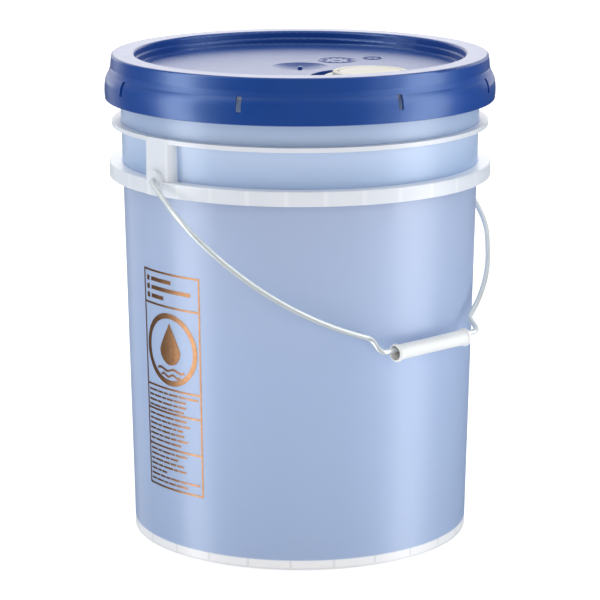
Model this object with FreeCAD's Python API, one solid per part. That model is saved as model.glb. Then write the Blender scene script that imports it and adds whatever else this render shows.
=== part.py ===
"""Five-gallon wash pail with a pressed-on spout lid and a swinging wire bail.

Millimetres, +Z up. The origin is the pail's axis at the plane it stands on. The two bail ears lie on the
X axis, the bail hangs towards -Y, and the spout sits on the -Y side of the lid.
"""

import FreeCAD, Part

import math
import os
from FreeCAD import Vector

# pail
TOTAL_HEIGHT = 375.0          # floor to the top of the lid's rim
FOOT_R = 131.0                # outside of the foot ring
FOOT_HEIGHT = 7.0             # foot ring, below the floor
WALL = 2.3
WALL_R0 = 131.1               # outer radius the tapered wall would have at z = 0
DRAFT = 0.022                 # growth of the outer radius for each millimetre of height
FLOOR_FILLET = 4.0
RIM_TOP = 370.6
RIM_LIP_R = 142.4             # outside of the rim's turned-down lip
RIM_LIP_BOTTOM = 358.0
RIM_THICKNESS = 2.0
EDGE_ROUND = 1.0              # rounding of the rim's and the lower rib's outer edge
OVERLAP = 1.0                 # how deep ribs and gussets are rooted in what they stand on
STACKING_RINGS = ((96.0, 98.0), (58.0, 59.6))   # inner and outer radii, under the floor
GATE_R = 5.0                  # gate mark in the middle of the floor's underside
MARK_DEPTH = 1.2

LOWER_RIB_R = 147.6
LOWER_RIB_TOP = 292.5
LOWER_RIB_BOTTOM = 281.5
LOWER_RIB_THICKNESS = 2.3
UPPER_RIB_R = 145.4
UPPER_RIB_TOP = 324.1
UPPER_RIB_BOTTOM = 320.7
RIB_GUSSETS = 32
RIB_GUSSET_FIRST = -2.1       # direction of one gusset, from +X
FOOT_GUSSETS = 25
FOOT_GUSSET_FIRST = 7.7
GUSSET_THICKNESS = 1.6
FOOT_GUSSET_DEPTH = 9.0
GUSSET_SETBACK = 1.2          # gussets stop this far short of the edge they stiffen

# ears and bail
PIVOT_Z = 292.6
EAR_HALF_WIDTH = 14.8
EAR_FACE_X = 145.6            # flush with the upper rib
EAR_PLATE = 3.0
EAR_WEB = 2.5
EAR_EDGE_R = 4.5              # rounding of the face plate's two upright edges
BOSS_R = 7.5
BOSS_FACE_X = 148.8
BAIL_WIRE_R = 2.0
BAIL_HOLE_R = 2.07
BAIL_HANG_DEG = 49.5          # angle of the bail's plane from straight down, towards -Y
BAIL_LEG_S = 151.5            # where the wire turns down outside the boss, from the bail's mid-plane
BAIL_GRIP_T = 187.8           # the straight middle, from the pivot
# Corners of the wire's centre line on each side, which is bent a little out of the bail's plane:
# distance from the mid-plane, distance behind the bail's plane, distance below the pivot.
LEFT_CORNERS = ((165.3, -15.2, 58.5), (115.8, -0.2, 138.7), (51.9, 0.0, 174.1))
RIGHT_CORNERS = ((158.2, 14.8, 80.1), (98.9, 1.9, 147.5), (52.3, 0.0, 174.5))
LEFT_BENDS = (2.6, 60.0, 236.0, 6.0, 5.0)   # bend radii, from the pin to the straight middle
RIGHT_BENDS = (2.6, 45.0, 290.0, 6.0, 5.0)
PIN_END_S = 139.6
PIN_HEAD_R = 3.0              # upset end that keeps the pin in its ear
PIN_HEAD_LENGTH = 1.4

GRIP_LENGTH = 76.0
GRIP_CENTRE_S = -2.0
GRIP_CENTRE_T = 190.6
GRIP_R = 5.9
GRIP_BORE_R = 5.3
GRIP_BEAD_R = 7.0
GRIP_BEAD_LENGTH = 3.4
GRIP_WAIST = 0.25             # how far the tube necks in at its middle

# lid
LID_WALL = 2.2
LID_TOP_R = 145.4             # rim of the lid, just under its top edge
LID_OUTER_ROUND = 1.8
LID_WAIST = (146.15, 365.3)   # outside of the skirt from the rim down, each as (radius, height)
LID_SHOULDER = (147.7, 360.7)
LID_SHOULDER_MIDDLE = (149.4, 357.6)
LID_BAND_TOP = (150.25, 354.5)
LID_BAND_MIDDLE = (150.75, 348.2)
LID_HEM_R = 150.3
LID_INNER_R = 127.6           # edge of the recess in the rim
LID_INNER_ROUND = 2.0
RECESS_LEDGE = 6.2            # height above the panel where the recess wall steps in
RECESS_STEP = 1.6
COVE_R = 1.8                  # between the recess wall and the panel
LID_PANEL_Z = 363.6
SKIRT_BOTTOM_Z = 340.8
HEM_CHAMFER = 0.4
PLUG_OUTER_R = 136.4
PLUG_THICKNESS = 2.0
PLUG_BOTTOM_Z = 361.5
LUG_COUNT = 24
LUG_INNER_R = 143.2
LUG_OUTER_R = 148.8
LUG_BOTTOM_Z = 341.8
LUG_TOP_Z = 352.0
LUG_THICKNESS = 2.0
LUG_FIRST_DEG = 37.6          # direction of one lug, from +X
SLOT_WIDTH = 4.2
SLOT_BOTTOM_Z = 350.0
SLOT_TOP_Z = 361.0
SLOT_DEGS = (163.9, 209.5, 256.0, 297.8)   # tear slots, from +X, with four more opposite
DISH_R = 22.0
DISH_DEPTH = 3.8
STUB_R = 1.9
STUB_HEIGHT = 3.6
RING_GROOVE_R = 119.2
RING_GROOVE_WIDTH = 1.0
RING_GROOVE_DEPTH = 0.5

GASKET_INNER_R = 136.9
GASKET_OUTER_R = 141.9
GASKET_BOTTOM_Z = 370.9

# spout
SPOUT_Y = -77.0
WELL_R = 45.5
WELL_FLOOR_Z = 356.2
NECK_OUTER_R = 31.2
NECK_INNER_R = 29.0
NECK_TOP_Z = 361.5
RETAINER_R = 35.4
RETAINER_ROUND = 1.3
RETAINER_TOP_Z = 364.2
RETAINER_SLEEVE_OUTER_R = 28.7
RETAINER_SLEEVE_INNER_R = 26.7
RETAINER_BOTTOM_Z = 353.0
RETAINER_LIP_TOP_Z = 355.5
RETAINER_LIP_R = 21.9
RETAINER_CLAMP_INNER_R = 31.5
RETAINER_CLAMP_OUTER_R = 33.4
RETAINER_CLAMP_BOTTOM_Z = 357.4

NOZZLE_OUTER_R = 21.5
NOZZLE_INNER_R = 19.3
NOZZLE_BOTTOM_Z = 318.0
NOZZLE_TOP_Z = 363.6
NOZZLE_STOP_R = 24.2
NOZZLE_STOP_THICKNESS = 2.4

LINER_R = 21.6
LINER_BOTTOM_Z = 363.7
LINER_TOP_Z = 365.2

CAP_TOP_Z = 368.0
CAP_UNDERSIDE_Z = 365.4
CAP_DISC_R = 23.8
CAP_SHOULDER_R = 28.3
CAP_SHOULDER_BOTTOM_Z = 364.6
CAP_SKIRT_INNER_R = 22.0
CAP_SKIRT_OUTER_R = 24.4
CAP_SKIRT_BOTTOM_Z = 356.0
CAP_TURN_DEG = -43.2          # direction of the pull rings' hinge line, from +X
PULL_INNER_R = 24.2
PULL_OUTER_R = 28.3
PULL_BOTTOM_Z = 365.6
PULL_TOP_Z = 368.0
CAP_EDGE_ROUND = 0.6
PULL_GAP = 0.3                # between a folded pull ring and the shoulder under it
PULL_HINGE_Y = 2.2            # each pull's hinge axis, from the cap's centre line
POST_INNER_R = 26.2
POST_HALF_WIDTH = 0.7

Z_AXIS = Vector(0, 0, 1)
X_AXIS = Vector(1, 0, 0)


def wall_r(z):
    """Outer radius of the tapered wall at height z."""
    return WALL_R0 + DRAFT * z


def path(start, *steps):
    """Edges in the XZ plane from start. A step is a point, or a pair: a point on an arc and the arc's end."""
    edges = []
    here = Vector(start[0], 0, start[1])
    for step in steps:
        if isinstance(step[0], tuple):
            middle = Vector(step[0][0], 0, step[0][1])
            end = Vector(step[1][0], 0, step[1][1])
            edges.append(Part.Arc(here, middle, end).toShape())
        else:
            end = Vector(step[0], 0, step[1])
            edges.append(Part.LineSegment(here, end).toShape())
        here = end
    return edges


def turned(start, *steps):
    """Solid of revolution about Z of the outline that path() draws, closed back to start if need be."""
    edges = path(start, *steps)
    end = edges[-1].Vertexes[-1].Point
    if end.distanceToPoint(Vector(start[0], 0, start[1])) > 1e-6:
        edges = path(start, *steps, start)
    outline = Part.Wire(edges)
    return Part.Face(outline).revolve(Vector(0, 0, 0), Z_AXIS, 360)


def ring(inner, outer, low, high):
    """Plain ring about Z."""
    return turned((inner, low), (outer, low), (outer, high), (inner, high))


def rod(radius, start, direction, length):
    return Part.makeCylinder(radius, length, start, direction)


def block(x, y, z):
    """Box from three (low, high) pairs."""
    return Part.makeBox(x[1] - x[0], y[1] - y[0], z[1] - z[0], Vector(x[0], y[0], z[0]))


def spun(shape, degrees):
    """Copy of shape turned about Z."""
    return shape.copy().rotate(Vector(0, 0, 0), Z_AXIS, degrees)


def around(shape, count, first):
    """Copies of shape spaced evenly about Z."""
    return [spun(shape, first + 360.0 * i / count) for i in range(count)]


def at_spout(shape):
    """Copy of shape, made about the origin's axis, moved onto the spout's axis."""
    return shape.copy().translate(Vector(0, SPOUT_Y, 0))


def point_on(centre, radius, degrees):
    """Point of a circle, by its angle from the outward horizontal."""
    turn = math.radians(degrees)
    return (centre[0] + radius * math.cos(turn), centre[1] + radius * math.sin(turn))


# ---- pail ----

def pail_shell():
    """Foot, floor, tapered wall and the rim's hooked lip in one outline."""
    inside_floor = FOOT_HEIGHT + WALL
    corner = wall_r(inside_floor) - WALL
    bend = (corner - FLOOR_FILLET, inside_floor + FLOOR_FILLET)
    lip_round = (RIM_LIP_R - EDGE_ROUND, RIM_TOP - EDGE_ROUND)
    return turned(
        (0, FOOT_HEIGHT),
        (FOOT_R - WALL, FOOT_HEIGHT),
        (FOOT_R - WALL, 0),
        (FOOT_R, 0),
        (FOOT_R, FOOT_HEIGHT),
        (wall_r(FOOT_HEIGHT), FOOT_HEIGHT),
        (wall_r(RIM_TOP - RIM_THICKNESS), RIM_TOP - RIM_THICKNESS),
        (RIM_LIP_R - RIM_THICKNESS, RIM_TOP - RIM_THICKNESS),
        (RIM_LIP_R - RIM_THICKNESS, RIM_LIP_BOTTOM),
        (RIM_LIP_R, RIM_LIP_BOTTOM),
        (RIM_LIP_R, lip_round[1]),
        (point_on(lip_round, EDGE_ROUND, 45), (lip_round[0], RIM_TOP)),
        (wall_r(RIM_TOP) - WALL, RIM_TOP),
        (wall_r(bend[1]) - WALL, bend[1]),
        (point_on(bend, FLOOR_FILLET, -45), (bend[0], inside_floor)),
        (0, inside_floor),
    )


def lower_rib():
    """Flange with a hanging skirt, open underneath."""
    thick = LOWER_RIB_THICKNESS
    root = wall_r(LOWER_RIB_TOP) - OVERLAP
    crown = (LOWER_RIB_R - EDGE_ROUND, LOWER_RIB_TOP - EDGE_ROUND)
    return turned(
        (root, LOWER_RIB_TOP),
        (root, LOWER_RIB_TOP - thick),
        (LOWER_RIB_R - thick, LOWER_RIB_TOP - thick),
        (LOWER_RIB_R - thick, LOWER_RIB_BOTTOM),
        (LOWER_RIB_R, LOWER_RIB_BOTTOM),
        (LOWER_RIB_R, crown[1]),
        (point_on(crown, EDGE_ROUND, 45), (crown[0], LOWER_RIB_TOP)),
    )


def upper_rib():
    return ring(wall_r(UPPER_RIB_BOTTOM) - OVERLAP, UPPER_RIB_R, UPPER_RIB_BOTTOM, UPPER_RIB_TOP)


def gusset(inner, outer, low, high):
    half = GUSSET_THICKNESS / 2
    return block((inner, outer), (-half, half), (low, high))


def rib_gussets():
    plate = gusset(
        wall_r(LOWER_RIB_BOTTOM) - OVERLAP,
        LOWER_RIB_R - OVERLAP,
        LOWER_RIB_BOTTOM + GUSSET_SETBACK,
        LOWER_RIB_TOP - OVERLAP,
    )
    return around(plate, RIB_GUSSETS, RIB_GUSSET_FIRST)


def foot_gussets():
    plate = gusset(
        FOOT_R - WALL - FOOT_GUSSET_DEPTH,
        FOOT_R - OVERLAP,
        GUSSET_SETBACK,
        FOOT_HEIGHT + OVERLAP,
    )
    return around(plate, FOOT_GUSSETS, FOOT_GUSSET_FIRST)


def ear():
    """Block on the +X side between the ribs: a face plate on two webs, with an arched boss at the pivot."""
    root = wall_r(UPPER_RIB_TOP) - WALL / 2
    width = (-EAR_HALF_WIDTH, EAR_HALF_WIDTH)
    height = (LOWER_RIB_BOTTOM, UPPER_RIB_TOP)
    pivot = Vector(root, 0, PIVOT_Z)
    solid = block((root, EAR_FACE_X), width, height)
    face_edges = [edge for edge in solid.Edges if edge.BoundBox.XMin > EAR_FACE_X - 0.1]
    upright = [edge for edge in face_edges if edge.BoundBox.ZLength > 1.0]
    solid = solid.makeFillet(EAR_EDGE_R, upright)
    arch = rod(BOSS_R, pivot, X_AXIS, BOSS_FACE_X - root)
    stem = block((root, BOSS_FACE_X), (-BOSS_R, BOSS_R), (LOWER_RIB_BOTTOM, PIVOT_Z))
    return solid.fuse([arch, stem])


def ear_pocket():
    """Space behind the face plate, where the bail's pin ends. It opens downwards."""
    low = wall_r(UPPER_RIB_BOTTOM)
    half = EAR_HALF_WIDTH - EAR_WEB
    return block(
        (low, EAR_FACE_X - EAR_PLATE),
        (-half, half),
        (LOWER_RIB_BOTTOM - 1.0, UPPER_RIB_BOTTOM),
    )


def floor_marks():
    """Two low stacking rings and the gate mark, standing proud under the floor."""
    low = FOOT_HEIGHT - MARK_DEPTH
    rings = [ring(inner, outer, low, FOOT_HEIGHT + OVERLAP) for inner, outer in STACKING_RINGS]
    return rings + [rod(GATE_R, Vector(0, 0, low), Z_AXIS, MARK_DEPTH + OVERLAP)]


def pail_body():
    ears = [spun(ear(), turn) for turn in (0, 180)]
    pockets = [spun(ear_pocket(), turn) for turn in (0, 180)]
    added = [lower_rib(), upper_rib()] + rib_gussets() + foot_gussets() + floor_marks()
    solid = pail_shell().fuse(added + ears).cut(pockets)
    hole_length = 2 * (BOSS_FACE_X + 1.0)
    hole = rod(BAIL_HOLE_R, Vector(-hole_length / 2, 0, PIVOT_Z), X_AXIS, hole_length)
    core = rod(wall_r(PIVOT_Z), Vector(0, 0, PIVOT_Z - BOSS_R), Z_AXIS, 2 * BOSS_R)
    return solid.cut(hole.cut(core)).removeSplitter()


# ---- bail ----

def rounded(points, radii):
    """Edges of the polyline through points, with each inner corner rounded to its radius."""
    edges = []
    here = points[0]
    for corner, after, radius in zip(points[1:-1], points[2:], radii):
        back = (here - corner).normalize()
        ahead = (after - corner).normalize()
        half = back.getAngle(ahead) / 2
        reach = radius / math.tan(half)
        middle = corner + (back + ahead).normalize() * (radius / math.sin(half) - radius)
        start = corner + back * reach
        end = corner + ahead * reach
        edges.append(Part.LineSegment(here, start).toShape())
        edges.append(Part.Arc(start, middle, end).toShape())
        here = end
    edges.append(Part.LineSegment(here, points[-1]).toShape())
    return edges


def bail_side(side, corners):
    """Corners of the centre line from one pin to the middle. side is -1 or 1, and the bail's plane is XZ."""
    straight = Vector(side * corners[-1][0], 0, -BAIL_GRIP_T)
    pin = [Vector(side * PIN_END_S, 0, 0), Vector(side * BAIL_LEG_S, 0, 0)]
    return pin + [Vector(side * s, w, -t) for s, w, t in corners] + [straight]


def hang(shape):
    """Move a shape drawn in the bail's plane, straight down from the origin, to where the bail hangs."""
    placed = shape.copy().rotate(Vector(0, 0, 0), X_AXIS, -BAIL_HANG_DEG)
    return placed.translate(Vector(0, 0, PIVOT_Z))


def bail_wire():
    left = bail_side(-1, LEFT_CORNERS)
    right = bail_side(1, RIGHT_CORNERS)[::-1]
    spine = Part.Wire(rounded(left + right, LEFT_BENDS + RIGHT_BENDS[::-1]))
    section = Part.Wire(Part.makeCircle(BAIL_WIRE_R, left[0], X_AXIS))
    wire = spine.makePipeShell([section], True, False)
    ends = (-PIN_END_S, PIN_END_S - PIN_HEAD_LENGTH)
    heads = [rod(PIN_HEAD_R, Vector(x, 0, 0), X_AXIS, PIN_HEAD_LENGTH) for x in ends]
    return hang(wire.fuse(heads).removeSplitter())


def bail_grip():
    """Thin tube with a rolled bead at each end and a slight waist, turned about Z, then laid on the bail."""
    half = GRIP_LENGTH / 2
    neck = half - GRIP_BEAD_LENGTH
    crown = half - GRIP_BEAD_LENGTH / 2
    tube = turned(
        (GRIP_BORE_R, half),
        ((GRIP_BEAD_R, crown), (GRIP_R, neck)),
        ((GRIP_R - GRIP_WAIST, 0), (GRIP_R, -neck)),
        ((GRIP_BEAD_R, -crown), (GRIP_BORE_R, -half)),
        ((GRIP_BORE_R - GRIP_WAIST, 0), (GRIP_BORE_R, half)),
    )
    laid = tube.rotate(Vector(0, 0, 0), Vector(0, 1, 0), 90)
    return hang(laid.translate(Vector(GRIP_CENTRE_S, 0, -GRIP_CENTRE_T)))


# ---- lid ----

def inside(point):
    """Point of the skirt's inner surface behind a point of its outer surface."""
    return (point[0] - 0.98 * LID_WALL, point[1] - 0.2 * LID_WALL)


def lid_shell():
    """Panel with its centre dish, recess wall, rim and skirt: one outline, LID_WALL thick."""
    wall = LID_WALL
    panel = LID_PANEL_Z
    dish = panel - DISH_DEPTH
    top = TOTAL_HEIGHT
    dish_bend = (DISH_R * 0.6, dish + DISH_DEPTH * 0.38)
    outer_round = (LID_TOP_R - LID_OUTER_ROUND, top - LID_OUTER_ROUND)
    inner_round = (LID_INNER_R + LID_INNER_ROUND, top - LID_INNER_ROUND)
    recess_r = LID_INNER_R - RECESS_STEP
    cove = (recess_r - COVE_R, panel + COVE_R)
    hem = SKIRT_BOTTOM_Z + HEM_CHAMFER
    return turned(
        (0, dish),
        (0, dish - wall),
        ((dish_bend[0], dish_bend[1] - wall), (DISH_R, panel - wall)),
        (recess_r, panel - wall),
        (recess_r + wall, panel),
        (LID_INNER_R + wall, top - 2 * wall),
        (LID_INNER_R + 1.5 * wall, top - wall),
        (LID_TOP_R - wall, top - wall),
        inside(LID_WAIST),
        inside(LID_SHOULDER),
        (inside(LID_SHOULDER_MIDDLE), inside(LID_BAND_TOP)),
        (inside(LID_BAND_MIDDLE), (LID_HEM_R - wall, hem)),
        (LID_HEM_R - wall + HEM_CHAMFER, SKIRT_BOTTOM_Z),
        (LID_HEM_R - HEM_CHAMFER, SKIRT_BOTTOM_Z),
        (LID_HEM_R, hem),
        (LID_BAND_MIDDLE, LID_BAND_TOP),
        (LID_SHOULDER_MIDDLE, LID_SHOULDER),
        LID_WAIST,
        (LID_TOP_R, outer_round[1]),
        (point_on(outer_round, LID_OUTER_ROUND, 45), (outer_round[0], top)),
        (inner_round[0], top),
        (point_on(inner_round, LID_INNER_ROUND, 135), (LID_INNER_R, inner_round[1])),
        (LID_INNER_R, panel + RECESS_LEDGE),
        ((recess_r + 0.4, panel + RECESS_LEDGE - 0.7), (recess_r, panel + RECESS_LEDGE - 2)),
        (recess_r, cove[1]),
        (point_on(cove, COVE_R, -45), (cove[0], panel)),
        (DISH_R, panel),
        (dish_bend, (0, dish)),
    )


def plug_skirt():
    """Inner ring of the lid that seals inside the pail's wall."""
    return ring(PLUG_OUTER_R - PLUG_THICKNESS, PLUG_OUTER_R, PLUG_BOTTOM_Z, TOTAL_HEIGHT - LID_WALL / 2)


def skirt_lugs():
    """Ribs inside the skirt that centre the lid on the pail's rim."""
    half = LUG_THICKNESS / 2
    lug = block((LUG_INNER_R, LUG_OUTER_R), (-half, half), (LUG_BOTTOM_Z, LUG_TOP_Z))
    return around(lug, LUG_COUNT, LUG_FIRST_DEG)


def tear_slots():
    half = SLOT_WIDTH / 2
    slot = block((LUG_INNER_R, 153.0), (-half, half), (SLOT_BOTTOM_Z, SLOT_TOP_Z))
    return [spun(slot, turn) for first in SLOT_DEGS for turn in (first, first + 180)]


def spout_well():
    """Cup in the panel round the spout, with the neck standing in it."""
    wall = LID_WALL
    cup = turned(
        (NECK_INNER_R, WELL_FLOOR_Z - wall),
        (WELL_R + wall, WELL_FLOOR_Z - wall),
        (WELL_R + wall, LID_PANEL_Z - wall / 2),
        (WELL_R, LID_PANEL_Z - wall / 2),
        (WELL_R, WELL_FLOOR_Z),
        (NECK_OUTER_R, WELL_FLOOR_Z),
        (NECK_OUTER_R, NECK_TOP_Z),
        (NECK_INNER_R, NECK_TOP_Z),
    )
    return at_spout(cup)


def lid():
    opening = at_spout(rod(WELL_R, Vector(0, 0, LID_PANEL_Z - LID_WALL - 1), Z_AXIS, LID_WALL + 1.8))
    groove = ring(
        RING_GROOVE_R - RING_GROOVE_WIDTH / 2,
        RING_GROOVE_R + RING_GROOVE_WIDTH / 2,
        LID_PANEL_Z - RING_GROOVE_DEPTH,
        LID_PANEL_Z + 1,
    )
    stub = rod(STUB_R, Vector(0, 0, LID_PANEL_Z - DISH_DEPTH - 0.5), Z_AXIS, STUB_HEIGHT + 0.5)
    solid = lid_shell().cut([groove, opening])
    solid = solid.fuse([plug_skirt(), spout_well(), stub] + skirt_lugs())
    return solid.cut(tear_slots()).removeSplitter()


def lid_gasket():
    return ring(GASKET_INNER_R, GASKET_OUTER_R, GASKET_BOTTOM_Z, TOTAL_HEIGHT - LID_WALL)


# ---- spout ----

def spout_retainer():
    """Press-on ring over the lid's neck: flange, outer clamp, inner sleeve and a lip to guide the nozzle."""
    edge = (RETAINER_R - RETAINER_ROUND, RETAINER_TOP_Z - RETAINER_ROUND)
    return at_spout(turned(
        (RETAINER_LIP_R, RETAINER_BOTTOM_Z),
        (RETAINER_SLEEVE_OUTER_R, RETAINER_BOTTOM_Z),
        (RETAINER_SLEEVE_OUTER_R, NECK_TOP_Z),
        (RETAINER_CLAMP_INNER_R, NECK_TOP_Z),
        (RETAINER_CLAMP_INNER_R, RETAINER_CLAMP_BOTTOM_Z),
        (RETAINER_CLAMP_OUTER_R, RETAINER_CLAMP_BOTTOM_Z),
        (RETAINER_CLAMP_OUTER_R, NECK_TOP_Z),
        (RETAINER_R, NECK_TOP_Z),
        (RETAINER_R, edge[1]),
        (point_on(edge, RETAINER_ROUND, 45), (edge[0], RETAINER_TOP_Z)),
        (RETAINER_SLEEVE_INNER_R, RETAINER_TOP_Z),
        (RETAINER_SLEEVE_INNER_R, RETAINER_LIP_TOP_Z),
        (RETAINER_LIP_R, RETAINER_LIP_TOP_Z),
    ))


def spout_nozzle():
    """Pull-up pouring tube with a stop flange at its foot."""
    stop_top = NOZZLE_BOTTOM_Z + NOZZLE_STOP_THICKNESS
    return at_spout(turned(
        (NOZZLE_INNER_R, NOZZLE_BOTTOM_Z),
        (NOZZLE_STOP_R, NOZZLE_BOTTOM_Z),
        (NOZZLE_STOP_R, stop_top),
        (NOZZLE_OUTER_R, stop_top),
        (NOZZLE_OUTER_R, NOZZLE_TOP_Z),
        (NOZZLE_INNER_R, NOZZLE_TOP_Z),
    ))


def cap_liner():
    return at_spout(rod(LINER_R, Vector(0, 0, LINER_BOTTOM_Z), Z_AXIS, LINER_TOP_Z - LINER_BOTTOM_Z))


def spout_cap():
    """Screw cap: disc, shoulder under the pull rings, skirt, and a post at each end of the hinge line."""
    edge = (CAP_DISC_R - CAP_EDGE_ROUND, CAP_TOP_Z - CAP_EDGE_ROUND)
    cap = turned(
        (0, CAP_UNDERSIDE_Z),
        (CAP_SKIRT_INNER_R, CAP_UNDERSIDE_Z),
        (CAP_SKIRT_INNER_R, CAP_SKIRT_BOTTOM_Z),
        (CAP_SKIRT_OUTER_R, CAP_SKIRT_BOTTOM_Z),
        (CAP_SKIRT_OUTER_R, CAP_SHOULDER_BOTTOM_Z),
        (CAP_SHOULDER_R, CAP_SHOULDER_BOTTOM_Z),
        (CAP_SHOULDER_R, PULL_BOTTOM_Z - PULL_GAP),
        (CAP_DISC_R, PULL_BOTTOM_Z - PULL_GAP),
        (CAP_DISC_R, edge[1]),
        (point_on(edge, CAP_EDGE_ROUND, 45), (edge[0], CAP_TOP_Z)),
        (0, CAP_TOP_Z),
    )
    post = block(
        (POST_INNER_R, CAP_SHOULDER_R - 0.2),
        (-POST_HALF_WIDTH, POST_HALF_WIDTH),
        (CAP_SHOULDER_BOTTOM_Z + 0.2, PULL_TOP_Z - 0.2),
    )
    cap = cap.fuse([post, spun(post, 180)])
    return at_spout(spun(cap, CAP_TURN_DEG)).removeSplitter()


def pull_ring():
    """Half ring on the +Y side of the hinge line, with round ends on its hinge axis."""
    thick = PULL_TOP_Z - PULL_BOTTOM_Z
    whole = ring(PULL_INNER_R, PULL_OUTER_R, PULL_BOTTOM_Z, PULL_TOP_Z)
    keep = block((-40, 40), (PULL_HINGE_Y, 40), (PULL_BOTTOM_Z - 1, PULL_TOP_Z + 1))
    hinge_z = (PULL_BOTTOM_Z + PULL_TOP_Z) / 2
    inner = math.sqrt(PULL_INNER_R ** 2 - PULL_HINGE_Y ** 2) + 0.05
    outer = math.sqrt(PULL_OUTER_R ** 2 - PULL_HINGE_Y ** 2) - 0.05
    knuckles = [
        rod(thick / 2, Vector(x, PULL_HINGE_Y, hinge_z), X_AXIS, outer - inner) for x in (inner, -outer)
    ]
    return whole.common(keep).fuse(knuckles).removeSplitter()


def pull_ring_on(side_deg):
    return at_spout(spun(pull_ring(), CAP_TURN_DEG + side_deg))


NODES = {
    "pail_body": pail_body,
    "bail_wire": bail_wire,
    "bail_grip": bail_grip,
    "lid": lid,
    "lid_gasket": lid_gasket,
    "spout_retainer": spout_retainer,
    "spout_nozzle": spout_nozzle,
    "cap_liner": cap_liner,
    "spout_cap": spout_cap,
    "pull_ring_rear": lambda: pull_ring_on(0),
    "pull_ring_front": lambda: pull_ring_on(180),
}

os.makedirs("parts", exist_ok=True)
for name, make in NODES.items():
    shape = make()
    print(name, shape.isValid(), len(shape.Solids), "%.0f mm3" % shape.Volume)
    shape.exportStep("parts/%s.step" % name)
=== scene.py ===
import math

import bmesh
import bpy
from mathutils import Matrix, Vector


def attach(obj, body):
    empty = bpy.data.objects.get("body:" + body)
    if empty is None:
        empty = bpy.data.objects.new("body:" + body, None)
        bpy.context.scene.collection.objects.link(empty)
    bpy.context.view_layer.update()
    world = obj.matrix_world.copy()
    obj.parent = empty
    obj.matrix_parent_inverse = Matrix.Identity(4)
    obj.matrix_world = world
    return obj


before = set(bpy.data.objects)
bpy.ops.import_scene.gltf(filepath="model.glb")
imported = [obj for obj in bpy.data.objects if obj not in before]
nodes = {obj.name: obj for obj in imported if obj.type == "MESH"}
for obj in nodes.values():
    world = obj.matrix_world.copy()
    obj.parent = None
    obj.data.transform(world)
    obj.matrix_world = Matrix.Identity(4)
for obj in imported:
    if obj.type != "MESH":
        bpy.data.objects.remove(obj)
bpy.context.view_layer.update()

# The pail's tapered wall and the places that the CAD fixes, in metres.
WALL_R0 = 0.1311
DRAFT = 0.022
FOOT_TOP = 0.007
RIB_GUSSET_TURN = math.radians(11.25)
RIB_GUSSET_FIRST = math.radians(-2.1)
FOOT_GUSSET_TURN = math.radians(14.4)
FOOT_GUSSET_FIRST = math.radians(7.7)
LOWER_RIB_LOW = 0.2815
LOWER_RIB_HIGH = 0.2925
PANEL_Z = 0.3636
LID_TOP_Z = 0.375
SPOUT_Y = -0.077
SPOKE_RADIUS = 0.14            # where the gusset lines' width is measured


def srgb(red, green, blue):
    """Linear colour with alpha, from 8-bit sRGB values."""

    def linear(value):
        share = value / 255
        return share / 12.92 if share <= 0.04045 else ((share + 0.055) / 1.055) ** 2.4

    return (linear(red), linear(green), linear(blue), 1.0)


# ---- materials ----

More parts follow.
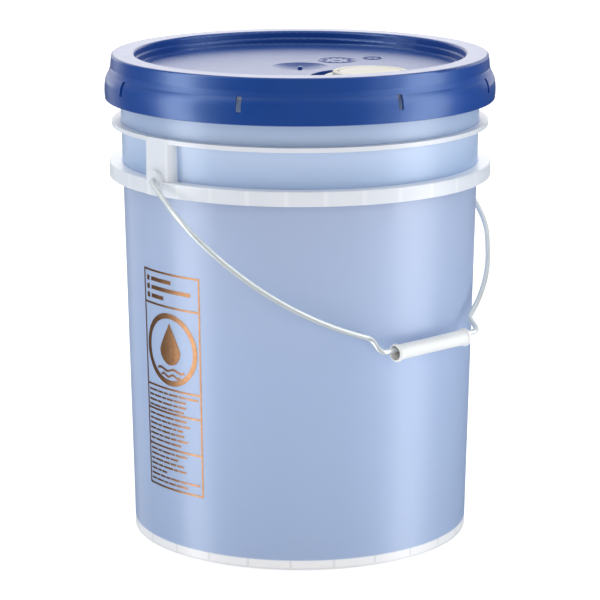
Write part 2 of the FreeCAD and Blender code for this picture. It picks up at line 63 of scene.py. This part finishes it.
class Shader:
    """One node material round a Principled shader. Lengths in patterns are metres in the row frame."""

    def __init__(self, name, **constants):
        self.material = bpy.data.materials.new(name)
        self.material.use_nodes = True
        self.tree = self.material.node_tree
        self.bsdf = self.tree.nodes["Principled BSDF"]
        for key, value in constants.items():
            self.bsdf.inputs[key.replace("_", " ")].default_value = value
        self.place = self.tree.nodes.new("ShaderNodeTexCoord").outputs["Object"]
        split = self.tree.nodes.new("ShaderNodeSeparateXYZ")
        self.tree.links.new(self.place, split.inputs[0])
        self.x, self.y, self.z = split.outputs

    def put(self, socket, value):
        """Sets or links one input."""
        if isinstance(value, bpy.types.NodeSocket):
            self.tree.links.new(value, socket)
        else:
            socket.default_value = value

    def math(self, operation, a, b=0.0):
        node = self.tree.nodes.new("ShaderNodeMath")
        node.operation = operation
        self.put(node.inputs[0], a)
        self.put(node.inputs[1], b)
        return node.outputs[0]

    def step(self, value, low, high, out=(0.0, 1.0)):
        """Smooth step of value from low to high."""
        node = self.tree.nodes.new("ShaderNodeMapRange")
        node.interpolation_type = "SMOOTHSTEP"
        for index, item in enumerate((value, low, high, out[0], out[1])):
            self.put(node.inputs[index], item)
        return node.outputs[0]

    def band(self, value, low, high, soft):
        """1 where value is between low and high, with soft edges."""
        rise = self.step(value, low - soft, low + soft)
        fall = self.step(value, high - soft, high + soft, (1.0, 0.0))
        return self.times(rise, fall)

    def times(self, a, b):
        return self.math("MULTIPLY", a, b)

    def varied(self, low, noise, spread):
        """low plus up to spread, following a noise from 0 to 1."""
        return self.math("ADD", low, self.times(noise, spread))

    def mix(self, factor, a, b):
        node = self.tree.nodes.new("ShaderNodeMix")
        node.data_type = "RGBA"
        self.put(node.inputs[0], factor)
        self.put(node.inputs[6], a)
        self.put(node.inputs[7], b)
        return node.outputs[2]

    def ramp(self, value, stops):
        """Colour ramp over value, from (place, colour) stops."""
        node = self.tree.nodes.new("ShaderNodeValToRGB")
        elements = node.color_ramp.elements
        while len(elements) < len(stops):
            elements.new(1.0)
        for element, (place, colour) in zip(elements, stops):
            element.position = place
            element.color = colour
        self.put(node.inputs[0], value)
        return node.outputs[0]

    def noise(self, scale, detail=2.0, rough=0.5, stretch=(1, 1, 1)):
        """Noise from 0 to 1, with scale in features per metre."""
        mapping = self.tree.nodes.new("ShaderNodeMapping")
        mapping.inputs["Scale"].default_value = stretch
        self.put(mapping.inputs["Vector"], self.place)
        node = self.tree.nodes.new("ShaderNodeTexNoise")
        node.inputs["Scale"].default_value = scale
        node.inputs["Detail"].default_value = detail
        node.inputs["Roughness"].default_value = rough
        self.put(node.inputs["Vector"], mapping.outputs[0])
        return node.outputs[0]

    def radius(self, centre_y=0.0):
        """Distance from the vertical line through (0, centre_y)."""
        y = self.math("SUBTRACT", self.y, centre_y)
        return self.math("SQRT", self.math("ADD", self.times(self.x, self.x), self.times(y, y)))

    def spokes(self, turn, first, width):
        """1 on lines through the pail's axis, one every turn from first, about width metres wide."""
        angle = self.math("SUBTRACT", self.math("ARCTAN2", self.y, self.x), first)
        whole_turns = 100.0        # keeps the phase positive
        shifted = self.math("ADD", self.math("DIVIDE", angle, turn), whole_turns + 0.5)
        phase = self.math("FRACT", shifted)
        off = self.times(self.math("ABSOLUTE", self.math("SUBTRACT", phase, 0.5)), turn * SPOKE_RADIUS)
        return self.step(off, width * 0.35, width * 0.75, (1.0, 0.0))

    def bump(self, *layers):
        """Stacks (height, distance in metres) layers on the normal."""
        normal = None
        for height, distance in layers:
            node = self.tree.nodes.new("ShaderNodeBump")
            node.inputs["Distance"].default_value = distance
            self.put(node.inputs["Height"], height)
            if normal is not None:
                self.put(node.inputs["Normal"], normal)
            normal = node.outputs[0]
        self.put(self.bsdf.inputs["Normal"], normal)

    def colour(self, value):
        self.put(self.bsdf.inputs["Base Color"], value)

    def roughness(self, value):
        self.put(self.bsdf.inputs["Roughness"], value)


def pail_plastic():
    """Translucent pail: pale blue wall, and milky white at the ribs, ears and foot, painted whiter towards
    the foot and with a painted shade line along the foot's bottom.
    """
    s = Shader("pail_plastic", IOR=1.52, Subsurface_Weight=0.12, Subsurface_Scale=0.004)
    s.bsdf.inputs["Subsurface Radius"].default_value = (0.8, 0.9, 1.2)
    height = s.math("DIVIDE", s.z, LID_TOP_Z)
    blue = s.ramp(height, (
        (0.02, srgb(163, 181, 212)),
        (0.40, srgb(169, 188, 222)),
        (0.74, srgb(174, 188, 217)),
        (0.79, srgb(176, 198, 230)),
        (0.85, srgb(191, 208, 234)),
        (0.89, srgb(184, 204, 234)),
    ))
    clouds = s.noise(7.0, 2.0, 0.5, (1, 1, 0.45))
    streaks = s.noise(26.0, 2.0, 0.5, (1, 1, 0.06))
    blue = s.mix(s.times(clouds, 0.07), blue, srgb(196, 208, 232))
    blue = s.mix(s.times(streaks, 0.08), blue, srgb(146, 166, 204))
    milk = s.mix(s.noise(35.0, 3.0), srgb(220, 224, 231), srgb(229, 231, 236))
    # Painted light: the milky white turns whiter below 30 mm, most of all below 10 mm, brightening the
    # foot where it gets less light.
    milk = s.mix(s.step(s.z, 0.010, 0.030, (0.9, 0.0)), milk, srgb(245, 243, 242))
    rib_gusset = s.spokes(RIB_GUSSET_TURN, RIB_GUSSET_FIRST, 0.0030)
    gusset = s.times(rib_gusset, s.band(s.z, LOWER_RIB_LOW, LOWER_RIB_HIGH, 0.0006))
    milk = s.mix(s.times(gusset, 0.35), milk, srgb(242, 243, 246))
    foot_gusset = s.spokes(FOOT_GUSSET_TURN, FOOT_GUSSET_FIRST, 0.0018)
    foot_mask = s.step(s.z, FOOT_TOP - 0.0004, FOOT_TOP + 0.0012, (1.0, 0.0))
    # Darker spokes at the foot's gussets, plus a painted shade line along the bottom 2 mm of the foot,
    # where it meets the floor.
    foot_gussets_and_shade_line = s.math("MAXIMUM", foot_gusset, s.step(s.z, 0.0008, 0.0020, (1.0, 0.0)))
    milk = s.mix(s.times(s.times(foot_gussets_and_shade_line, foot_mask), 0.4), milk, srgb(204, 205, 208))
    proud = s.math("SUBTRACT", s.math("SUBTRACT", s.radius(), WALL_R0), s.times(s.z, DRAFT))
    rib_mask = s.step(proud, 0.0006, 0.0016)
    white = s.math("MAXIMUM", rib_mask, foot_mask)
    s.colour(s.mix(white, blue, milk))
    scuff = s.step(s.noise(60.0, 6.0, 0.7, (1, 1, 3.0)), 0.60, 0.74)
    near_foot = s.step(s.z, 0.002, 0.02, (1.0, 0.0))
    rough = s.varied(0.32, s.noise(18.0, 2.0), 0.05)
    s.roughness(s.varied(rough, s.times(scuff, near_foot), 0.16))
    speck = s.noise(900.0, 2.0)
    flow = s.noise(150.0, 1.0, 0.5, (1, 1, 0.2))
    s.bump((speck, 0.000012), (flow, 0.00002), (s.noise(16.0, 1.0), 0.00005))
    return s.material


def lid_plastic():
    """Royal blue lid, with a fine grain on the panel and faint handling marks on the rim."""
    s = Shader("lid_plastic", IOR=1.5, Specular_IOR_Level=0.8, Sheen_Weight=0.1, Sheen_Roughness=0.5)
    s.bsdf.inputs["Sheen Tint"].default_value = (0.45, 0.62, 1.0, 1.0)
    s.bsdf.inputs["Specular Tint"].default_value = (0.66, 0.85, 1.0, 1.0)
    base = s.mix(s.noise(60.0, 2.0), srgb(4, 61, 138), srgb(4, 61, 146))
    wear = s.step(s.noise(140.0, 5.0, 0.7), 0.62, 0.75)
    edge = s.step(s.z, LID_TOP_Z - 0.0012, LID_TOP_Z - 0.0002)
    s.colour(s.mix(s.times(s.times(wear, edge), 0.08), base, srgb(110, 140, 190)))
    on_panel = s.band(s.z, PANEL_Z - 0.006, PANEL_Z + 0.0005, 0.0004)
    grain = s.noise(700.0, 2.0)
    rough = s.varied(0.285, s.noise(110.0, 2.0), 0.05)
    s.roughness(s.varied(rough, on_panel, 0.05))
    s.bump((grain, 0.000012), (s.noise(90.0, 1.0), 0.000008), (s.noise(14.0, 1.0), 0.00004))
    return s.material


def spout_plastic():
    """Cream white moulded spout and cap, with fine turned rings and patches of dust."""
    s = Shader("spout_plastic", IOR=1.5, Subsurface_Weight=0.1, Subsurface_Scale=0.002)
    tone = s.mix(s.noise(60.0, 3.0), srgb(210, 209, 201), srgb(202, 201, 192))
    ring_pitch = 0.0011
    rings = s.math("SINE", s.times(s.radius(SPOUT_Y), 2 * math.pi / ring_pitch))
    dust = s.step(s.noise(210.0, 4.0, 0.6), 0.58, 0.7)
    s.colour(s.mix(s.times(dust, 0.15), tone, srgb(205, 200, 186)))
    s.roughness(s.varied(0.42, s.noise(45.0, 2.0), 0.1))
    s.bump((rings, 0.000006), (s.noise(800.0, 2.0), 0.00001))
    return s.material


def grip_plastic():
    """Near-white extruded tube with fine draw lines."""
    s = Shader("grip_plastic", IOR=1.49, Subsurface_Weight=0.1, Subsurface_Scale=0.002)
    s.colour(s.mix(s.noise(90.0, 3.0, 0.6, (0.2, 1, 1)), srgb(245, 244, 242), srgb(236, 236, 234)))
    s.roughness(s.varied(0.36, s.noise(70.0, 3.0), 0.12))
    s.bump((s.noise(1400.0, 2.0, 0.5, (0.03, 1, 1)), 0.00002), (s.noise(60.0, 1.0), 0.00005))
    return s.material


def bail_steel():
    """Pale zinc on drawn wire: faint spangle, draw lines and dull spots."""
    s = Shader("bail_steel", Metallic=0.35)
    s.colour(s.mix(s.noise(160.0, 3.0), srgb(228, 233, 233), srgb(212, 218, 219)))
    dull = s.step(s.noise(240.0, 4.0, 0.65), 0.52, 0.68)
    s.roughness(s.varied(0.36, dull, 0.14))
    s.bump((s.noise(1600.0, 2.0, 0.5, (0.3, 1, 1)), 0.00001), (s.noise(120.0, 2.0), 0.00003))
    return s.material


def gasket_rubber():
    """Dark seal ring, hidden under the lid."""
    s = Shader("gasket_rubber", IOR=1.45)
    s.colour(s.mix(s.noise(220.0, 4.0), srgb(34, 34, 35), srgb(52, 52, 52)))
    s.roughness(s.varied(0.62, s.noise(90.0), 0.2))
    s.bump((s.noise(1100.0, 3.0), 0.00003))
    return s.material


def liner_foam():
    """Off-white sealing disc inside the cap."""
    s = Shader("liner_foam", IOR=1.4)
    s.colour(s.mix(s.noise(500.0, 3.0), srgb(226, 226, 220), srgb(208, 208, 200)))
    s.roughness(s.varied(0.7, s.noise(300.0), 0.15))
    s.bump((s.noise(2200.0, 2.0), 0.00006))
    return s.material


def copper_ink():
    """Metallic copper screen print, a little uneven where the ink thins."""
    s = Shader("copper_ink", Metallic=0.75, IOR=1.5)
    thin = s.step(s.noise(420.0, 4.0, 0.65), 0.40, 0.62)
    s.colour(s.mix(thin, srgb(138, 99, 67), srgb(150, 112, 80)))
    s.roughness(s.varied(0.29, s.noise(300.0, 3.0), 0.12))
    s.bump((s.noise(1500.0, 2.0), 0.00001))
    return s.material


def floor_paper():
    """White paper sweep that glows a little, so that it stays white at the far end."""
    s = Shader("floor_paper", Roughness=0.9)
    s.colour(s.mix(s.noise(3.0, 3.0), srgb(246, 246, 247), srgb(242, 242, 243)))
    s.put(s.bsdf.inputs["Emission Color"], (1.0, 1.0, 1.0, 1.0))
    s.put(s.bsdf.inputs["Emission Strength"], 0.35)
    return s.material


finishes = {
    "pail_body": pail_plastic(),
    "bail_wire": bail_steel(),
    "bail_grip": grip_plastic(),
    "lid": lid_plastic(),
    "lid_gasket": gasket_rubber(),
    "cap_liner": liner_foam(),
}
spout = spout_plastic()
for name in ("spout_retainer", "spout_nozzle", "spout_cap", "pull_ring_rear", "pull_ring_front"):
    finishes[name] = spout
for name, material in finishes.items():
    piece = nodes[name]
    piece.data.materials.clear()
    piece.data.materials.append(material)


# ---- printed panel on the wall ----

PRINT_PROUD = 0.00012
PRINT_MID = math.pi            # under the -X ear
PRINT_WIDTH = 0.063
PRINT_LOW = 0.050
PRINT_HIGH = 0.2205
PRINT_MIDDLE_Z = 0.13          # height at which widths on the wall are true
LINE = 0.0015
RULES_Z = (PRINT_LOW, 0.0820, 0.1103, 0.1293, 0.1935, PRINT_HIGH - LINE)
RING_CENTRE_Z = 0.1612
RING_OUTER = 0.0282
RING_INNER = 0.0241
DROP_TIP_Z = 0.1823
DROP_LOW_Z = 0.1492
DROP_R = 0.0116
WAVES = ((0.1452, 0.0152), (0.1408, 0.0108))   # height and half width
WAVE_HALF = 0.0009
HEADINGS = ((0.2118, 0.024), (0.2052, 0.044), (0.1986, 0.015))   # height and length
ROW_PITCH = 0.0040
ROW_BLOCKS = ((0.1266, 4), (0.1078, 6), (0.0796, 7))   # top and number of rows


def on_wall(across, z):
    """Point on the wall's surface: across metres to the right of the panel's middle, seen from outside."""
    radius = WALL_R0 + DRAFT * z + PRINT_PROUD
    turn = PRINT_MID + across / (WALL_R0 + DRAFT * PRINT_MIDDLE_Z)
    return Vector((radius * math.cos(turn), radius * math.sin(turn), z))


def patch(bm, low, high, steps):
    """Quad strip between a lower and an upper edge, given as functions of a share from 0 to 1."""
    rows = []
    for index in range(steps + 1):
        share = index / steps
        rows.append((bm.verts.new(on_wall(*low(share))), bm.verts.new(on_wall(*high(share)))))
    for (a, b), (c, d) in zip(rows, rows[1:]):
        bm.faces.new((a, c, d, b))


def bar(bm, left, right, low, high):
    """Printed rectangle that follows the wall's curve."""
    facet = 0.003
    steps = max(1, math.ceil((right - left) / facet))
    patch(
        bm,
        lambda share: (left + (right - left) * share, low),
        lambda share: (left + (right - left) * share, high),
        steps,
    )


def printed_frame(bm):
    """Two upright lines and the rules between them."""
    half = PRINT_WIDTH / 2
    for left in (-half, half - LINE):
        bar(bm, left, left + LINE, PRINT_LOW, PRINT_HIGH)
    for z in RULES_Z:
        bar(bm, -half + LINE, half - LINE, z, z + LINE)


def printed_ring(bm):
    def circle(radius):
        return lambda share: (
            radius * math.cos(2 * math.pi * share),
            RING_CENTRE_Z + radius * math.sin(2 * math.pi * share),
        )

    patch(bm, circle(RING_INNER), circle(RING_OUTER), 72)


def printed_drop(bm):
    """Plain water drop in the middle of the ring."""
    widest = DROP_LOW_Z + DROP_R

    def half_width(z):
        if z < widest:
            return math.sqrt(max(0.0, DROP_R ** 2 - (widest - z) ** 2))
        share = (z - widest) / (DROP_TIP_Z - widest)
        return DROP_R * (1 - share) ** 0.8 * math.cos(share * math.pi / 2) ** 0.35

    steps = 28
    thinnest = 0.00005
    rows = []
    for index in range(steps + 1):
        z = DROP_LOW_Z + (DROP_TIP_Z - DROP_LOW_Z) * (0.5 - 0.5 * math.cos(math.pi * index / steps))
        width = max(half_width(z), thinnest)
        rows.append([bm.verts.new(on_wall(width * side, z)) for side in (-1, -0.5, 0, 0.5, 1)])
    for lower, upper in zip(rows, rows[1:]):
        for i in range(4):
            bm.faces.new((lower[i], lower[i + 1], upper[i + 1], upper[i]))


def printed_waves(bm):
    """Two short waves under the drop."""
    def wave(middle, half, offset):
        return lambda share: (
            half * (2 * share - 1),
            middle + offset + WAVE_HALF * math.sin(4 * math.pi * share),
        )

    for middle, half in WAVES:
        patch(bm, wave(middle, half, -WAVE_HALF), wave(middle, half, WAVE_HALF), 40)


def printed_rows(bm):
    """Plain dashes: three thick ones, each behind a square mark, and rows of thin ones."""
    left = -PRINT_WIDTH / 2 + 0.0042
    mark = 0.0036
    mark_step = 0.0062
    for z, length in HEADINGS:
        bar(bm, left, left + mark, z - 0.0004, z + 0.0034)
        bar(bm, left + mark_step, left + mark_step + length, z, z + 0.0030)
    dashes = (
        (9, 5, 4, 8, 6, 9), (5, 7, 4, 6, 10), (8, 5, 9, 4, 6), (4, 7, 6, 5, 8),
        (6, 9, 8, 10), (4, 7, 5, 3, 9, 6), (8, 4, 9, 3, 5), (6, 5, 8, 4, 7), (9, 4, 6, 5, 9),
        (5, 8, 6, 9), (7, 4, 8, 3, 10), (9, 5, 4, 7), (4, 8, 6, 5, 6), (7, 5, 9, 4, 6), (6, 4, 5),
    )
    dash_unit = 0.00125
    dash_gap = 0.0011
    row_left = left - 0.0012
    row_right = PRINT_WIDTH / 2 - 0.0032
    tops = [top - ROW_PITCH * row for top, count in ROW_BLOCKS for row in range(count)]
    for index, z in enumerate(tops):
        start = row_left
        for length in dashes[index % len(dashes)]:
            end = start + length * dash_unit
            if end > row_right:
                break
            bar(bm, start, end, z - LINE, z)
            start = end + dash_gap


def printed_panel():
    """The whole print as one thin skin of ink on the pail's wall."""
    bm = bmesh.new()
    printed_frame(bm)
    printed_ring(bm)
    printed_drop(bm)
    printed_waves(bm)
    printed_rows(bm)
    bmesh.ops.recalc_face_normals(bm, faces=bm.faces)
    mesh = bpy.data.meshes.new("printed_panel")
    bm.to_mesh(mesh)
    bm.free()
    panel = bpy.data.objects.new("printed_panel", mesh)
    bpy.context.collection.objects.link(panel)
    mesh.materials.append(copper_ink())
    thick = panel.modifiers.new("ink", "SOLIDIFY")
    thick.thickness = 0.00006
    thick.offset = 0.0
    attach(panel, "pail")


printed_panel()


# ---- moulded dials on the lid ----

DIAL_BASE_Z = PANEL_Z - 0.0001      # a little way into the panel
DIAL_HEIGHT = 0.00045
DIAL_LINE = 0.0009


def raised_shape(bm, points):
    """Flat n-gon on the lid's panel, from (x, y) points."""
    bm.faces.new([bm.verts.new((x, y, DIAL_BASE_Z)) for x, y in points])


def moulded_dial(name, centre, radius, ticks):
    """Plain ring with short radial ticks inside it, standing 0.35 mm proud of the panel."""
    bm = bmesh.new()
    half_line = DIAL_LINE / 2

    def at(distance, turn):
        return (centre[0] + distance * math.cos(turn), centre[1] + distance * math.sin(turn))

    def circle(distance, segments):
        return [at(distance, 2 * math.pi * i / segments) for i in range(segments)]

    inner = [bm.verts.new((x, y, DIAL_BASE_Z)) for x, y in circle(radius - DIAL_LINE, 64)]
    outer = [bm.verts.new((x, y, DIAL_BASE_Z)) for x, y in circle(radius, 64)]
    for i, vertex in enumerate(inner):
        following = (i + 1) % len(inner)
        bm.faces.new((vertex, outer[i], outer[following], inner[following]))
    for i in range(ticks):
        turn = 2 * math.pi * (i + 0.5) / ticks
        low = radius * 0.58
        high = radius * 0.82
        raised_shape(bm, [
            at(low, turn - half_line / low),
            at(high, turn - half_line / high),
            at(high, turn + half_line / high),
            at(low, turn + half_line / low),
        ])
    raised_shape(bm, circle(radius * 0.18, 24))
    bmesh.ops.recalc_face_normals(bm, faces=bm.faces)
    for face in bm.faces:
        if face.normal.z < 0:
            face.normal_flip()
    mesh = bpy.data.meshes.new(name)
    bm.to_mesh(mesh)
    bm.free()
    dial = bpy.data.objects.new(name, mesh)
    bpy.context.collection.objects.link(dial)
    mesh.materials.append(finishes["lid"])
    thick = dial.modifiers.new("height", "SOLIDIFY")
    thick.thickness = DIAL_HEIGHT
    thick.offset = 1.0
    edge = dial.modifiers.new("edge", "BEVEL")
    edge.width = 0.00012
    edge.segments = 2
    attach(dial, "lid")


moulded_dial("lid_dial_large", (0.0444, 0.0050), 0.0150, 12)
moulded_dial("lid_dial_small", (0.0730, -0.0056), 0.0080, 10)


# ---- studio ----

FORWARD = Vector((0.6846, 0.7290, 0.0))      # the way the camera looks, along the floor
RIGHT = Vector((0.7290, -0.6846, 0.0))
CAMERA_DISTANCE = 2.0440
CAMERA_HEIGHT = 0.6470
CAMERA_PITCH = math.radians(12.902)
COOL = (0.72, 0.86, 1.0)
WARM = (1.0, 0.95, 0.89)


def softbox(name, bearing, distance, height, size, radiance, aim=0.19, colour=(1, 1, 1), lights="both"):
    """Area light that faces a point at height aim over the origin.

    bearing is in degrees to the right, from the camera's side of the object. lights is "gloss" for
    reflections only, "diffuse" for shading only, or "both".
    """
    light = bpy.data.lights.new(name, "AREA")
    light.shape = "RECTANGLE"
    light.size, light.size_y = size
    light.energy = radiance * math.pi * size[0] * size[1]
    light.color = colour
    box = bpy.data.objects.new(name, light)
    bpy.context.collection.objects.link(box)
    turn = math.radians(bearing)
    box.location = distance * (math.sin(turn) * RIGHT - math.cos(turn) * FORWARD) + Vector((0, 0, height))
    away = box.location - Vector((0, 0, aim))
    box.rotation_euler = away.to_track_quat("Z", "Y").to_euler()
    box.visible_diffuse = lights != "gloss"
    box.visible_glossy = lights != "diffuse"


def studio():
    """White floor, tall strips for the highlights, soft fills and a bright wall behind."""
    bm = bmesh.new()
    bmesh.ops.create_grid(bm, x_segments=8, y_segments=8, size=12.0)
    mesh = bpy.data.meshes.new("studio_floor")
    bm.to_mesh(mesh)
    bm.free()
    floor = bpy.data.objects.new("studio_floor", mesh)
    floor.location = (0, 0, -0.0005)
    bpy.context.collection.objects.link(floor)
    mesh.materials.append(floor_paper())
    floor.visible_glossy = False
    softbox("strip_left", -74, 2.4, 0.0, (0.9, 6.0), 5.6, aim=0.0, lights="gloss")
    softbox("strip_left_soft", -62, 2.6, 0.0, (1.5, 6.0), 0.6, aim=0.0, lights="gloss")
    softbox("strip_right", 78, 2.4, 0.0, (1.25, 6.0), 4.1, aim=0.0, lights="gloss")
    softbox("strip_right_soft", 60, 2.6, 0.0, (1.6, 6.0), 1.2, aim=0.0, lights="gloss")
    softbox("card_left", -140, 2.6, 0.0, (0.8, 6.0), 0.7, aim=0.0, lights="gloss")
    softbox("fill_front", 8, 2.6, 1.1, (2.6, 2.0), 1.15, lights="diffuse")
    for side, name in ((-1, "side_left"), (1, "side_right")):
        softbox(name, 100 * side, 2.4, 0.9, (2.0, 2.2), 1.5, colour=COOL, lights="diffuse")
    softbox("wall_behind", 180, 4.2, 1.45, (7.0, 2.8), 1.35, aim=1.45, colour=WARM)
    softbox("wall_middle", 180, 4.1, 1.45, (1.3, 2.4), 1.3, aim=1.45, colour=WARM)
    softbox("ceiling", 180, 0.3, 3.0, (4.0, 4.0), 1.1, aim=0.0)
    world = bpy.data.worlds.new("studio_air")
    world.use_nodes = True
    background = world.node_tree.nodes["Background"]
    background.inputs["Color"].default_value = (1.0, 1.0, 1.0, 1.0)
    background.inputs["Strength"].default_value = 0.3
    world.cycles_visibility.glossy = False
    bpy.context.scene.world = world


def camera():
    eye = bpy.data.objects.new("camera", bpy.data.cameras.new("camera"))
    bpy.context.collection.objects.link(eye)
    eye.data.lens = 160.0
    eye.data.sensor_width = 36.0
    eye.location = -CAMERA_DISTANCE * FORWARD + Vector((0, 0, CAMERA_HEIGHT))
    eye.rotation_euler = (math.pi / 2 - CAMERA_PITCH, 0, -math.atan2(FORWARD.x, FORWARD.y))
    bpy.context.scene.camera = eye


studio()
camera()
bpy.context.scene.view_settings.view_transform = "Standard"
